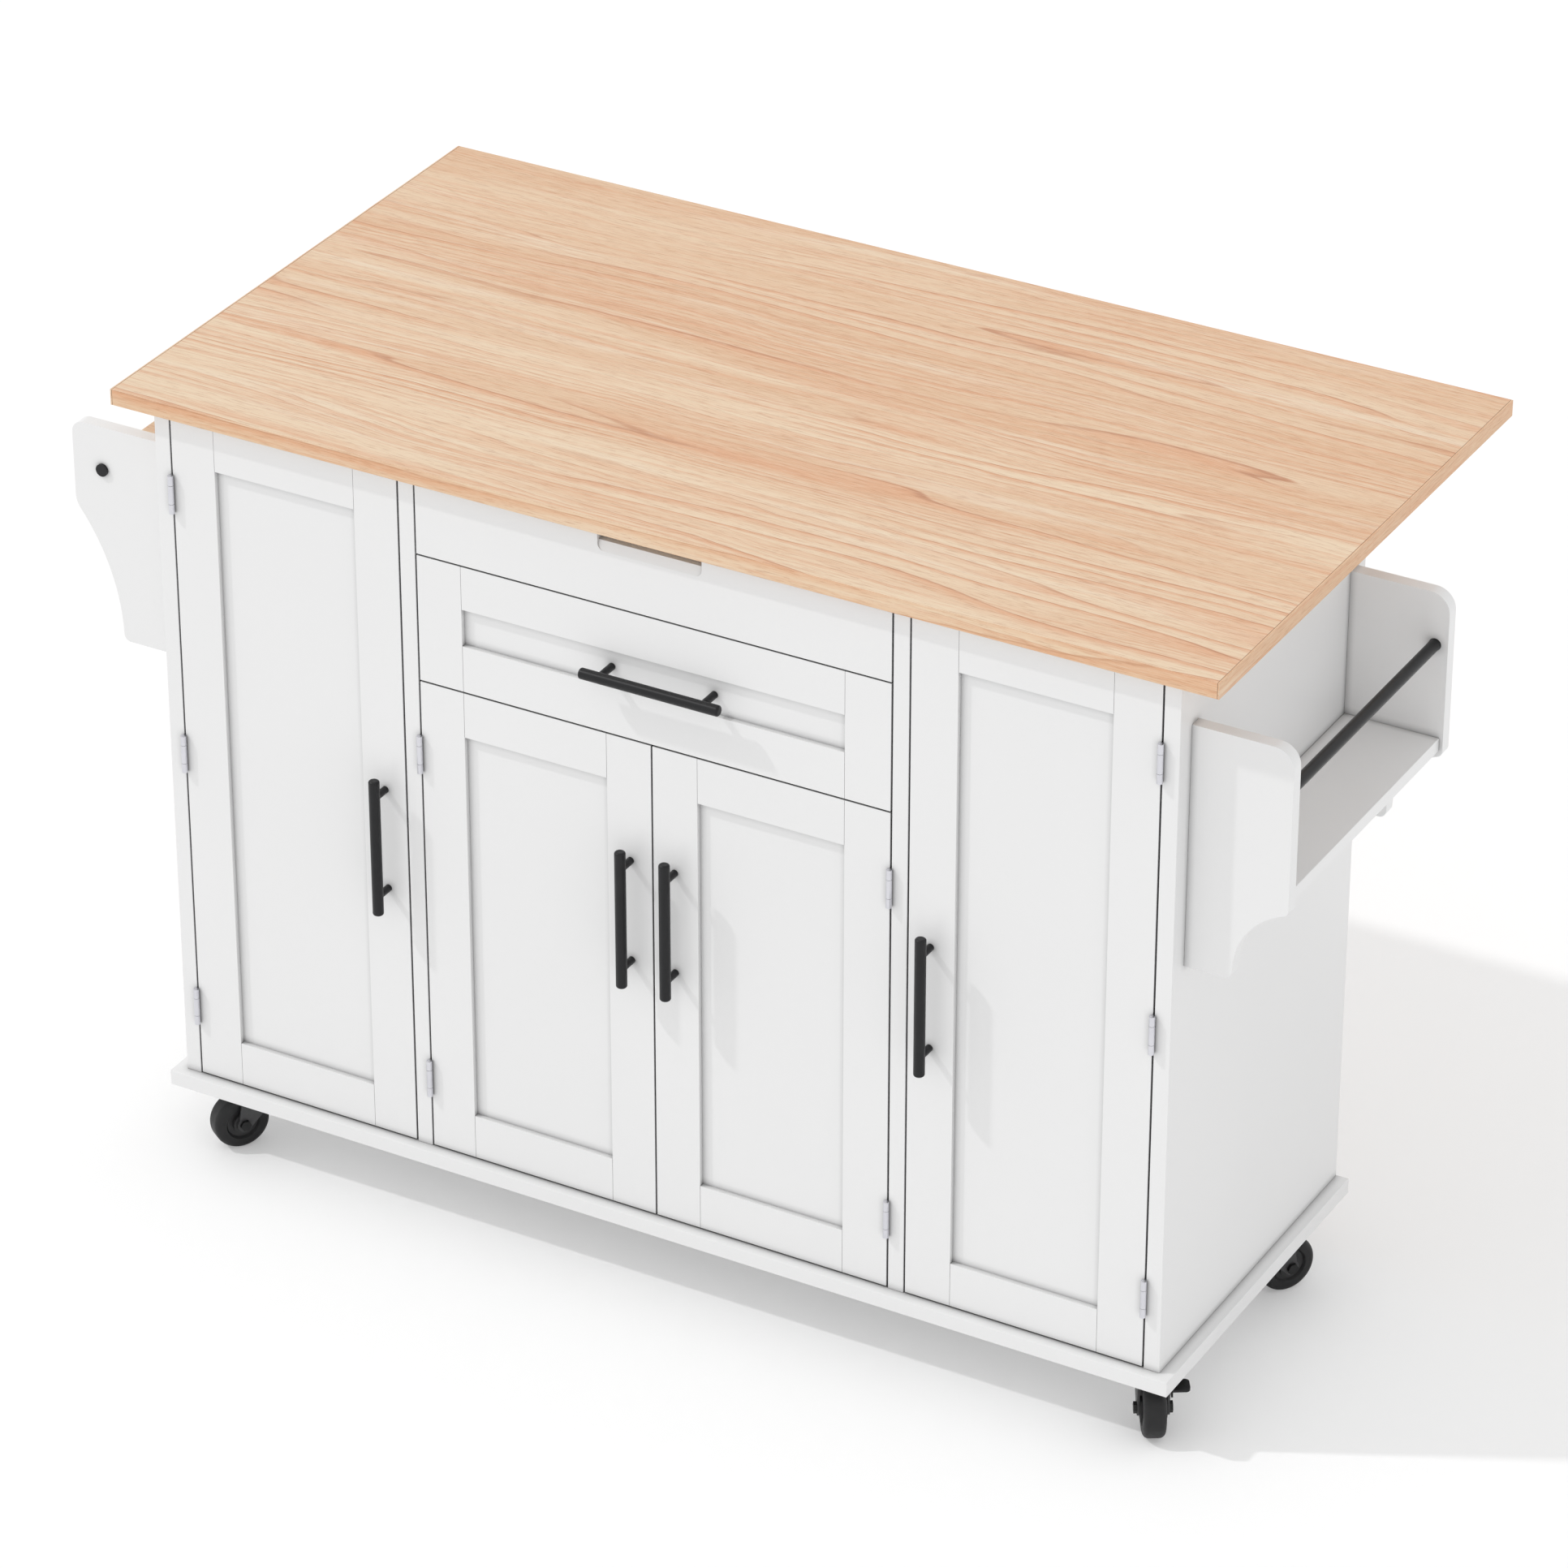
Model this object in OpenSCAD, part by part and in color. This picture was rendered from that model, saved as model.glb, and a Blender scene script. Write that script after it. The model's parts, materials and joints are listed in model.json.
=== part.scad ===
// Kitchen island on casters: a worktop with a drop leaf behind it, four framed doors,
// two drawers, an open rack on each end and folding supports for the leaf.
// While it is drawn, X runs along the front from the worktop's middle, Y runs back from
// the worktop's front edge and Z is the height above the floor.
// The whole is then moved so that its origin is under the middle of its outer box.

/* [Worktop] */
// Length of the worktop and of its leaf
top_w = 1270; // [1250:5:1280]
// Depth of the fixed worktop
top_d = 432; // [430:1:440]
// Thickness of the worktop and of its leaf
top_t = 18; // [16:1:20]
// Height of the worktop's upper face
top_h = 914; // [900:1:920]
// Depth of the drop leaf
leaf_d = 250; // [245:1:280]
// Seam between the worktop and its leaf
leaf_seam = 1; // [0.8:0.1:1.4]

/* [Cabinet] */
// Width over the side panels
cab_w = 1180; // [1160:2:1190]
// Setback of the fronts behind the worktop's front edge
front_set = 12; // [10:1:14]
// Thickness of the cabinet's boards
board_t = 18; // [16:1:18]
// How far the base board stands out past each side panel
base_side = 14.5; // [10:0.5:16]
// Thickness of the base board
base_t = 18; // [16:1:20]
// Setback of the back panel's rear face
back_set = 25; // [24:1:28]
// Thickness of the back panel
back_t = 9; // [6:1:12]
// Gap round the doors and drawer fronts
gap = 2; // [1.8:0.1:2.4]
// Height of the shelf behind the outer doors, above the base
side_shelf_z = 395; // [300:5:450]
// Height of the shelf behind the middle doors, above the base
mid_shelf_z = 270; // [200:5:320]
// Thickness of the inside shelves
shelf_t = 15; // [12:1:18]

/* [Fronts] */
// Width of the rails and stiles of the doors
rail_w = 52; // [46:1:56]
// Height of the lower drawer's lower rail
drawer_rail_low = 53; // [48:0.5:54]
// Height of the lower drawer's upper rail
drawer_rail_high = 49.5; // [48:0.5:54]
// Thickness of the doors and drawer fronts
front_t = 18; // [18:1:20]
// Thickness of the sunk panels
panel_t = 6; // [5:0.5:7]
// How deep the panels are sunk behind the frames
panel_set = 6; // [4:0.5:7]
// Height of the top drawer front
drawer1_h = 83; // [82:1:90]
// Height of the lower drawer front
drawer2_h = 145; // [144:1:160]
// Width of the finger notch in the top drawer
notch_w = 120; // [100:2:140]
// Depth of the finger notch at the back of the front
notch_h = 12; // [10:1:16]
// Height of the bevel below the finger notch
notch_bevel = 11; // [6:1:12]
// How far that bevel leans back
notch_lean = 3; // [1:0.5:8]

/* [Handles] */
// Length of a handle bar
bar_len = 162; // [140:2:170]
// Radius of a handle bar
bar_r = 6; // [5:0.5:6.5]
// Radius of a handle post
post_r = 4; // [3:0.5:4.5]
// Distance between the posts
post_pitch = 119; // [96:1:128]
// Reach of the bar's middle from the face of the fronts
bar_reach = 21.5; // [18:0.5:28]
// Distance of a door handle from the door's free edge
bar_edge = 25; // [22:1:28]
// Height of the door handles' middle
bar_z = 461; // [420:1:520]
// How far the drawer handle sits right of the middle
drawer_bar_x = 11; // [0:1:12]

/* [Door hinges] */
// Radius of a door hinge knuckle
knuckle_r = 3.2; // [3:0.1:3.4]
// Length of a door hinge
hinge_len = 44; // [36:1:50]
// Distance of a hinge's middle from the door's lower end
hinge_end = 85; // [60:1:95]
// Distance of a hinge's middle from the upper end of an outer door
hinge_top = 90; // [60:1:95]

/* [Leaf supports] */
// Distance of the strut's foot below the leaf hinge
foot_drop = 80; // [76:1:84]
// Distance of the strut's line from the leaf hinge
line_in = 12; // [12:0.5:13]
// Distance of the strut's sliding pin from the hinge with the leaf raised
pin_out = 110; // [104:1:116]
// Distance of the leaf hinges from the middle, first pair
leaf_hinge_x = 150; // [120:5:180]
// Clearance between the second pair of leaf hinges and the side panels
leaf_hinge_room = 42; // [20:2:80]

/* [Left rack] */
// How far the left rack stands out from the side panel
left_out = 122.5; // [110:0.5:130]
// How far the foot of the left rack's brackets lies in from their outer end
left_foot_in = 52.5; // [45:0.5:60]
// Height of the left rack's brackets
left_bracket_h = 249; // [230:1:260]
// Setback of the brackets' front face from the worktop's front edge
rack_front = 37; // [30:1:45]
// Setback of the brackets' rear face from the worktop's rear edge
rack_back = 22; // [10:1:30]
// Thickness of the rack boards
rack_t = 15; // [12:1:18]
// Distance from the worktop's upper face down to the left rack's top
left_drop = 70.5; // [60:0.5:90]
// Width of the ledge between the left brackets
ledge_w = 45; // [30:1:60]
// Distance of the towel rod from the side panel
towel_out = 86; // [70:1:95]
// Distance of the towel rod below the left rack's top
towel_drop = 50; // [35:1:60]
// Radius of the towel rod
towel_r = 5; // [4:0.5:6]
// Radius of the towel rod's end caps
cap_r = 7; // [6.5:0.5:8]

/* [Right rack] */
// How far the right rack stands out from the side panel
right_out = 110; // [105:1:116]
// Distance from the worktop's upper face down to the right rack's top
right_drop = 75.5; // [65:0.5:90]
// Height of the right rack's brackets
right_bracket_h = 273; // [260:1:290]
// Height of the rack shelf's upper face above the brackets' lower end
rack_shelf_z = 109.5; // [100:0.5:120]
// Distance of the rod from the side panel
rod_out = 95.5; // [80:0.5:97]
// Distance of the rod below the right rack's top
rod_drop = 58.5; // [45:0.5:80]
// Radius of the rod
rod_r = 6.35; // [5:0.05:7.5]

/* [Casters] */
// Height of a caster
caster_h = 76; // [75:1:80]
// Radius of a wheel
wheel_r = 32; // [30:0.5:32]
// Width of a wheel
wheel_w = 24; // [20:1:26]
// Trail of a caster
trail = 25; // [22:1:27]
// Distance of the right casters from the middle, along X
caster_right = 559.5; // [520:0.5:570]
// Distance of the left casters from the middle, along X
caster_left = 527.5; // [500:0.5:570]
// Distance of the front casters from the worktop's front edge
caster_front = 57; // [50:1:65]
// Distance of the rear casters from the worktop's front edge
caster_back = 322; // [300:1:370]
// Direction in which the front right caster trails
front_right_turn = -58; // [-180:1:180]
// Direction in which the front left caster trails
front_left_turn = -124; // [-180:1:180]
// Direction in which the rear right caster trails
rear_right_turn = 57; // [-180:1:180]
// Direction in which the rear left caster trails
rear_left_turn = 118; // [-180:1:180]

/* [Hidden] */
$fn = 48;

white = [0.92, 0.92, 0.92];
wood = [0.88, 0.76, 0.62];
black = [0.12, 0.12, 0.125];
zinc = [0.78, 0.78, 0.8];
tyre = [0.1, 0.1, 0.1];
inner = [0.9, 0.88, 0.84];

// side signs
L = -1;
R = 1;
// radial clearance of a pin in its bore
run = 0.05;
// clearance of a glued or slid-in piece
fit = 0.3;
// cutting tools run past the faces they cut by this much
over = 1;

// heights
top_z = top_h - top_t;
base_z = caster_h;
floor_z = base_z + base_t;
front_low = floor_z + gap;
front_high = top_z - gap;
drawer1_z = front_high - drawer1_h;
drawer2_z = drawer1_z - gap - drawer2_h;
mid_door_high = drawer2_z - gap;

// positions along X
side_in = cab_w / 2 - board_t;
door_w = (side_in - board_t - 3.5 * gap) / 2;
mid_in = door_w + 1.5 * gap;
mid_out = mid_in + board_t;
outer_edge = side_in - gap;
inner_edge = mid_out + gap;

// positions along Y
cab_back = top_d - 1;
back_face = cab_back - back_set;
back_front = back_face - back_t;
front_back = front_set + front_t;
// the inside shelves end just behind the doors and stop them
shelf_front = front_back + 1;

// leaf hinge: a line along X below the seam
seam_y = top_d + leaf_seam / 2;
pin_gap = 3.2;
hinge_z = top_z - pin_gap;
leaf_knuckle_r = 2.7;
leaf_pin_r = 1.2;
leaf_plate_t = 2.4;
leaf_plate_d = 20;
leaf_hinge_w = 60;

// folding support: three flat layers side by side along X
layer = 2.6;
layer_gap = 0.3;
flange_w = 12;
flange_t = 2.5;
foot_y = seam_y - line_in;
foot_z = hinge_z - foot_drop;
strut_len = sqrt(pow(pin_out + line_in, 2) + pow(foot_drop - line_in, 2));
strut_rise = atan2(foot_drop - line_in, pin_out + line_in);
strut_half = 8;
slot_end = foot_drop + strut_len;
support_pin_r = 3;
support_x = mid_in + board_t / 2;

// racks
rack_y1 = rack_front;
rack_y2 = top_d - rack_back - rack_t;
left_top = top_h - left_drop;
right_top = top_h - right_drop;
side_x = cab_w / 2;
socket = 8;

// drawers
runner_room = 13;
box_t = 12;
box_out = mid_in - runner_room;
// room between the drawer boxes and the back panel
box_room = 17;
box_len = back_front - front_back - box_room;
// how far the boxes stay inside the ends of their fronts
box1_up = 9;
box1_down = 2;
box2_up = 12;
box2_down = 21;
box1_low = drawer1_z + box1_up;
box1_high = front_high - notch_h - notch_bevel - box1_down;
box2_low = drawer2_z + box2_up;
box2_high = drawer2_z + drawer2_h - box2_down;
bottom_t = 5;
groove = 5;
bottom_up = 8;
// heights of the runners above the lower edge of their box
runner1_up = 8;
runner2_up = 40;
runner_set = 2;
runner_y = front_back + runner_set;
runner_len = box_len - 5 * runner_set;
runner_h = 30;
channel_gap = 3;
sheet = 1.5;

// hinges of the doors
hinge_play = 0.1;
plate_t = gap / 2 - hinge_play;
pin_front = knuckle_r + fit;
pin_y = front_set - pin_front;
door_pin_r = 1.5;
pin_room = 0.5;
plate_d = front_t - 2;

// casters
axle_r = 4;
wheel_gap = 2.3;
fork_in = wheel_w / 2 + wheel_gap;
fork_t = 2.5;
fork_out = fork_in + fork_t;
crown_low = wheel_r * 2 + 1.2;
crown_high = crown_low + 3;
race_low = crown_high + fit;
plate_low = caster_h - 2.5;
king_r = 4;
// how far the crown reaches behind and in front of the king pin
crown_back = 17;
crown_fore = 20;
eye_r = 8.5;
king_head_r = 7;
king_head_t = 2.5;
lever_t = 5;
lever_x = 11;
lever_z = 50;
stub_r = 3;

// middle of the outer box
shift_x = (right_out - left_out) / 2;
handle_face = front_set - bar_reach - bar_r;
shift_y = (top_d + leaf_seam + leaf_d + handle_face) / 2;

module place() {
  translate([-shift_x, -shift_y, 0]) children();
}

// a box from one corner to the other
module block(low, high) {
  translate(low) cube(high - low);
}

// a rod along X, Y or Z from point p over length len
module rod_x(p, r, len) {
  translate(p) rotate([0, 90, 0]) cylinder(r = r, h = len);
}
module rod_y(p, r, len) {
  translate(p) rotate([-90, 0, 0]) cylinder(r = r, h = len);
}

// a flat outline in the Y-Z plane, thickened along X from x
module in_yz(x, t) {
  translate([x, 0, 0]) rotate([90, 0, 90]) linear_extrude(height = t) children();
}
// a flat outline in the X-Z plane, thickened along Y from y
module in_xz(y, t) {
  translate([0, y + t, 0]) rotate([90, 0, 0]) linear_extrude(height = t) children();
}

// a flat rectangle with round corners
module soft_rect(w, h, r) {
  translate([r, 0]) square([w - 2 * r, h]);
  translate([0, r]) square([w, h - 2 * r]);
  for (x = [r, w - r], y = [r, h - r]) translate([x, y]) circle(r = r);
}

// what a round corner of radius r takes off a square corner at the origin; the
// material lies towards (sx, sy)
module corner_cut(r, sx, sy) {
  mirror([sx < 0 ? 1 : 0, 0]) mirror([0, sy < 0 ? 1 : 0]) difference() {
    translate([-over, -over]) square(r + over);
    translate([r, r]) circle(r = r);
  }
}

// ---------- cabinet ----------

module base_board() {
  color(white) place()
    block([-side_x - base_side, 0, base_z], [side_x + base_side, top_d, floor_z]);
}

module side_panel(s) {
  x = s == L ? -side_x : side_in;
  color(white) place() block([x, front_set, floor_z], [x + board_t, cab_back, top_z]);
}
module left_side_panel() { side_panel(L); }
module right_side_panel() { side_panel(R); }

module divider(s) {
  x = s == L ? -mid_out : mid_in;
  color(white) place() block([x, front_set, floor_z], [x + board_t, back_front, top_z]);
}
module left_divider() { divider(L); }
module right_divider() { divider(R); }

module back_panel() {
  color(white) place() block([-side_in, back_front, floor_z], [side_in, back_face, top_z]);
}

// [middle, width, height] of each inside shelf
shelf_spots = [
  [-(side_in + mid_out) / 2, side_in - mid_out, floor_z + side_shelf_z],
  [0, 2 * mid_in, floor_z + mid_shelf_z],
  [(side_in + mid_out) / 2, side_in - mid_out, floor_z + side_shelf_z]
];
shelf_play = 1;

module shelves() {
  color(white) place() for (s = shelf_spots) {
    half = s[1] / 2 - shelf_play;
    block([s[0] - half, shelf_front, s[2]], [s[0] + half, back_front - shelf_play, s[2] + shelf_t]);
  }
}

// small angles under the shelves, fixed to the boards beside them
module shelf_rests() {
  reach = 10;
  half = 6;
  in = 49;
  color(zinc) place()
    for (s = shelf_spots, y = [shelf_front + in, back_front - in]) translate([s[0], y, s[2]])
      for (m = [0, 1]) mirror([m, 0, 0]) translate([s[1] / 2, 0, 0]) {
        block([-reach, -half, -sheet], [0, half, 0]);
        block([-sheet, -half, -reach], [0, half, -sheet / 2]);
      }
}

// ---------- worktop and leaf ----------

module main_top() {
  color(wood) place() block([-top_w / 2, 0, top_z], [top_w / 2, top_d, top_h]);
}

module drop_leaf() {
  y = top_d + leaf_seam;
  color(wood) place() block([-top_w / 2, y, top_z], [top_w / 2, y + leaf_d, top_h]);
}

leaf_hinge_x2 = side_in - leaf_hinge_room - leaf_hinge_w / 2;
leaf_hinge_spots = [-leaf_hinge_x2, -leaf_hinge_x, leaf_hinge_x, leaf_hinge_x2];

// one half of a leaf hinge, on the side dir of the seam; its knuckles run over [from, to] lists
module leaf_hinge_half(dir, parts, hole) {
  edge = leaf_knuckle_r + layer_gap;
  plate_z = top_z - leaf_plate_t;
  difference() {
    union() {
      block(
        [-leaf_hinge_w / 2, dir < 0 ? -leaf_plate_d - edge : edge, plate_z],
        [leaf_hinge_w / 2, dir < 0 ? -edge : leaf_plate_d + edge, top_z]
      );
      for (p = parts) {
        rod_x([p[0], 0, hinge_z], leaf_knuckle_r, p[1] - p[0]);
        block(
          [p[0], dir < 0 ? -edge - over : leaf_pin_r, plate_z],
          [p[1], dir < 0 ? -leaf_pin_r : edge + over, plate_z + leaf_pin_r]
        );
      }
    }
    if (hole > 0) rod_x([-leaf_hinge_w / 2, 0, hinge_z], hole, leaf_hinge_w);
  }
}

module leaf_hinges_fixed() {
  w = leaf_hinge_w / 2;
  color(zinc) place() for (x = leaf_hinge_spots) translate([x, seam_y, 0]) {
    leaf_hinge_half(-1, [[-w, -w / 3], [w / 3, w]], 0);
    rod_x([-w, 0, hinge_z], leaf_pin_r, 2 * w);
  }
}

module leaf_hinges_moving() {
  w = leaf_hinge_w / 6 - layer_gap;
  color(zinc) place() for (x = leaf_hinge_spots)
    translate([x, seam_y, 0]) leaf_hinge_half(1, [[-w, w]], leaf_pin_r + run);
}

// the layers of a support lie side by side, mirrored left and right
module both_supports() {
  for (s = [L, R]) translate([s * support_x, 0, 0]) mirror([s == L ? 1 : 0, 0, 0]) children();
}

module support_wall_arms() {
  wall_half = 42;
  root = 8;
  tip_y = foot_y + 7;
  tip_half = 10;
  x = -2 * (layer + layer_gap);
  color(zinc) place() both_supports() {
    block(
      [x - flange_w, back_face, foot_z - wall_half],
      [x + layer, back_face + flange_t, foot_z + wall_half]
    );
    in_yz(x, layer) polygon([
      [back_face, foot_z - wall_half], [back_face + root, foot_z - wall_half],
      [tip_y, foot_z - tip_half], [tip_y, foot_z + tip_half],
      [back_face + root, foot_z + wall_half], [back_face, foot_z + wall_half]
    ]);
    rod_x([x, foot_y, foot_z], support_pin_r, 2 * layer + layer_gap);
  }
}

module support_struts() {
  head_r = 5;
  head_t = 2;
  x = -layer - layer_gap;
  color(zinc) place() both_supports()
    translate([0, foot_y, foot_z]) rotate([strut_rise, 0, 0]) {
      difference() {
        union() {
          block([x, 0, -strut_half], [x + layer, strut_len, strut_half]);
          for (y = [0, strut_len]) rod_x([x, y, 0], strut_half, layer);
        }
        rod_x([x - over, 0, 0], support_pin_r + run, layer + 2 * over);
      }
      // head of the sliding pin
      rod_x([x - head_t, strut_len, 0], head_r, head_t + layer / 2);
    }
}

module support_leaf_arms() {
  arm_start = 40;
  arm_past = 14;
  slot_past = 6;
  z = hinge_z - line_in;
  slot_half = support_pin_r + fit;
  slot1 = seam_y + pin_out - slot_past;
  slot2 = seam_y + slot_end;
  y1 = seam_y + arm_start;
  y2 = slot2 + arm_past;
  color(zinc) place() both_supports() {
    block([-flange_w, y1, top_z - flange_t], [layer, y2, top_z]);
    difference() {
      block([0, y1, z - strut_half], [layer, y2, top_z]);
      block([-over, slot1, z - slot_half], [layer + over, slot2, z + slot_half]);
      for (y = [slot1, slot2]) rod_x([-over, y, z], slot_half, layer + 2 * over);
    }
  }
}

// ---------- doors ----------

// how far the sunk panels reach into their frames
tongue = 8;
// width of the lines where rails meet stiles
joint = 0.25;

// a frame of two upright stiles with two rails between them and a groove for its sunk
// panel, in the X-Z plane; the joint lines stay open a hair
module framed(w, h, side, low, high) {
  difference() {
    union() {
      block([0, 0, 0], [side, front_t, h]);
      block([w - side, 0, 0], [w, front_t, h]);
      block([side + joint, 0, 0], [w - side - joint, front_t, low]);
      block([side + joint, 0, h - high], [w - side - joint, front_t, h]);
    }
    block(
      [side - tongue - fit, panel_set, low - tongue - fit],
      [w - side + tongue + fit, panel_set + panel_t + fit, h - high + tongue + fit]
    );
  }
}
module sunk_panel(w, h, side, low, high) {
  block(
    [side - tongue, panel_set, low - tongue],
    [w - side + tongue, panel_set + panel_t, h - high + tongue]
  );
}

// [left edge, height of the upper end, hinge side] of each door
doors = [
  [-outer_edge, front_high, L],
  [-mid_in + gap, mid_door_high, L],
  [gap / 2, mid_door_high, R],
  [inner_edge, front_high, R]
];
function door_h(d) = d[1] - front_low;

module door_frame(i) {
  d = doors[i];
  color(white) place() translate([d[0], front_set, front_low])
    framed(door_w, door_h(d), rail_w, rail_w, rail_w);
}
module door_panel(i) {
  d = doors[i];
  color(white) place() translate([d[0], front_set, front_low])
    sunk_panel(door_w, door_h(d), rail_w, rail_w, rail_w);
}

// a bar with round edges at its ends along Z, its middle at the origin
module bar() {
  soft = 2.5;
  rotate_extrude() translate([0, -bar_len / 2]) intersection() {
    translate([-bar_r, 0]) soft_rect(2 * bar_r, bar_len, soft);
    square([bar_r, bar_len]);
  }
}

// a bar handle along Z whose posts reach back to the plane Y = 0
module bar_handle(reach) {
  translate([0, -reach, 0]) bar();
  for (z = [-post_pitch / 2, post_pitch / 2]) rod_y([0, -reach, z], post_r, reach);
}

module door_handle(i) {
  d = doors[i];
  x = d[2] == L ? d[0] + door_w - bar_edge : d[0] + bar_edge;
  color(black) place() translate([x, front_set, bar_z]) bar_handle(bar_reach);
}

// heights of the hinges of door i
function hinge_heights(i) = i == 0 || i == 3
  ? [front_low + hinge_end, (front_low + front_high) / 2, front_high - hinge_top]
  : [front_low + hinge_end, mid_door_high - hinge_end];

// middle of the gap on the hinge side of door i
function pin_x(i) = doors[i][2] == L ? doors[i][0] - gap / 2 : doors[i][0] + door_w + gap / 2;

// one half of a door hinge round its pin; dir is the side on which its plate lies
module door_hinge_half(dir, parts, hole) {
  x1 = dir < 0 ? -hinge_play - plate_t : hinge_play;
  x2 = x1 + plate_t;
  difference() {
    union() {
      block([x1, pin_front, -hinge_len / 2], [x2, pin_front + plate_d, hinge_len / 2]);
      for (p = parts) {
        translate([0, 0, p[0]]) cylinder(r = knuckle_r, h = p[1] - p[0]);
        block([x1, door_pin_r + pin_room, p[0]], [x2, pin_front + over, p[1]]);
      }
    }
    if (hole > 0) translate([0, 0, -hinge_len]) cylinder(r = hole, h = 2 * hinge_len);
  }
}

module door_hinges(i) {
  h = hinge_len / 4 - layer_gap;
  color(zinc) place() for (z = hinge_heights(i))
    translate([pin_x(i), pin_y, z])
      door_hinge_half(-doors[i][2], [[-h, h]], door_pin_r + run);
}

module door_hinges_fixed() {
  h = hinge_len / 2;
  color(zinc) place() for (i = [0:3], z = hinge_heights(i))
    translate([pin_x(i), pin_y, z]) {
      door_hinge_half(doors[i][2], [[-h, -h / 2], [h / 2, h]], 0);
      translate([0, 0, -h]) cylinder(r = door_pin_r, h = 2 * h);
    }
}

module left_door_frame() { door_frame(0); }
module left_door_panel() { door_panel(0); }
module left_door_handle() { door_handle(0); }
module left_door_hinges() { door_hinges(0); }
module centre_left_door_frame() { door_frame(1); }
module centre_left_door_panel() { door_panel(1); }
module centre_left_door_handle() { door_handle(1); }
module centre_left_door_hinges() { door_hinges(1); }
module centre_right_door_frame() { door_frame(2); }
module centre_right_door_panel() { door_panel(2); }
module centre_right_door_handle() { door_handle(2); }
module centre_right_door_hinges() { door_hinges(2); }
module right_door_frame() { door_frame(3); }
module right_door_panel() { door_panel(3); }
module right_door_handle() { door_handle(3); }
module right_door_hinges() { door_hinges(3); }

// ---------- drawers ----------

front_w = 2 * (mid_in - gap);

// the upper edge is cut away for the fingers, with a bevel on the face and soft lower corners
module top_drawer_front() {
  w = notch_w / 2;
  soft = 8;
  low = front_high - notch_h;
  cut_low = low - notch_bevel;
  color(white) place() difference() {
    block([-front_w / 2, front_set, drawer1_z], [front_w / 2, front_back, front_high]);
    intersection() {
      in_xz(front_set - over, front_t + 2 * over)
        translate([-w, cut_low]) soft_rect(notch_w, notch_h + notch_bevel + 2 * soft, soft);
      in_yz(-w - over, notch_w + 2 * over) polygon([
        [front_set, cut_low - over], [front_set, cut_low], [front_set + notch_lean, low],
        [front_back + over, low], [front_back + over, front_high + over],
        [front_set - over, front_high + over], [front_set - over, cut_low - over]
      ]);
    }
  }
}

// four boards round a drawer, grooved for its bottom
module drawer_box(low, high) {
  color(inner) place() difference() {
    block([-box_out, front_back, low], [box_out, front_back + box_len, high]);
    block(
      [-box_out + box_t, front_back + box_t, low - over],
      [box_out - box_t, front_back + box_len - box_t, high + over]
    );
    block(
      [-box_out + box_t - groove - fit, front_back + box_t - groove - fit, low + bottom_up],
      [box_out - box_t + groove + fit, front_back + box_len - box_t + groove + fit,
       low + bottom_up + bottom_t + fit]
    );
  }
}
module drawer_bottom(low) {
  color(inner) place() block(
    [-box_out + box_t - groove, front_back + box_t - groove, low + bottom_up],
    [box_out - box_t + groove, front_back + box_len - box_t + groove, low + bottom_up + bottom_t]
  );
}
module top_drawer_box() { drawer_box(box1_low, box1_high); }
module top_drawer_bottom() { drawer_bottom(box1_low); }

module lower_drawer_frame() {
  color(white) place() translate([-front_w / 2, front_set, drawer2_z])
    framed(front_w, drawer2_h, rail_w, drawer_rail_low, drawer_rail_high);
}
module lower_drawer_panel() {
  color(white) place() translate([-front_w / 2, front_set, drawer2_z])
    sunk_panel(front_w, drawer2_h, rail_w, drawer_rail_low, drawer_rail_high);
}
module lower_drawer_box() { drawer_box(box2_low, box2_high); }
module lower_drawer_bottom() { drawer_bottom(box2_low); }

module drawer_handle() {
  drawer_bar_z = drawer2_z + (drawer2_h + drawer_rail_low - drawer_rail_high) / 2;
  color(black) place()
    translate([drawer_bar_x, front_set + panel_set, drawer_bar_z])
      rotate([0, 90, 0]) bar_handle(bar_reach + panel_set);
}

// heights of the lower edge of the runners
runner_zs = [box1_low + runner1_up, box2_low + runner2_up];

// C-shaped channels on the dividers
module drawer_runners_fixed() {
  x = box_out + channel_gap;
  color(zinc) place() for (z = runner_zs, s = [L, R]) mirror([s == L ? 1 : 0, 0, 0])
    difference() {
      block([x, runner_y, z], [mid_in, runner_y + runner_len, z + runner_h]);
      block(
        [x - over, runner_y - over, z + sheet],
        [mid_in - sheet, runner_y + runner_len + over, z + runner_h - sheet]
      );
    }
}

// rails on the drawer's sides, that slide in the channels
module drawer_rails(z) {
  play = 0.5;
  // [from, to] along X and distance from the channel's ends, for strip, web and slider
  steps = [
    [box_out, box_out + 2, 6],
    [box_out + 2, box_out + 6, 10],
    [box_out + 6, mid_in - sheet - play, sheet + play]
  ];
  color(zinc) place() for (s = [L, R], t = steps) mirror([s == L ? 1 : 0, 0, 0])
    block([t[0], runner_y, z + t[2]], [t[1], runner_y + runner_len, z + runner_h - t[2]]);
}
module top_drawer_rails() { drawer_rails(runner_zs[0]); }
module lower_drawer_rails() { drawer_rails(runner_zs[1]); }

// ---------- left rack ----------

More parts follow.
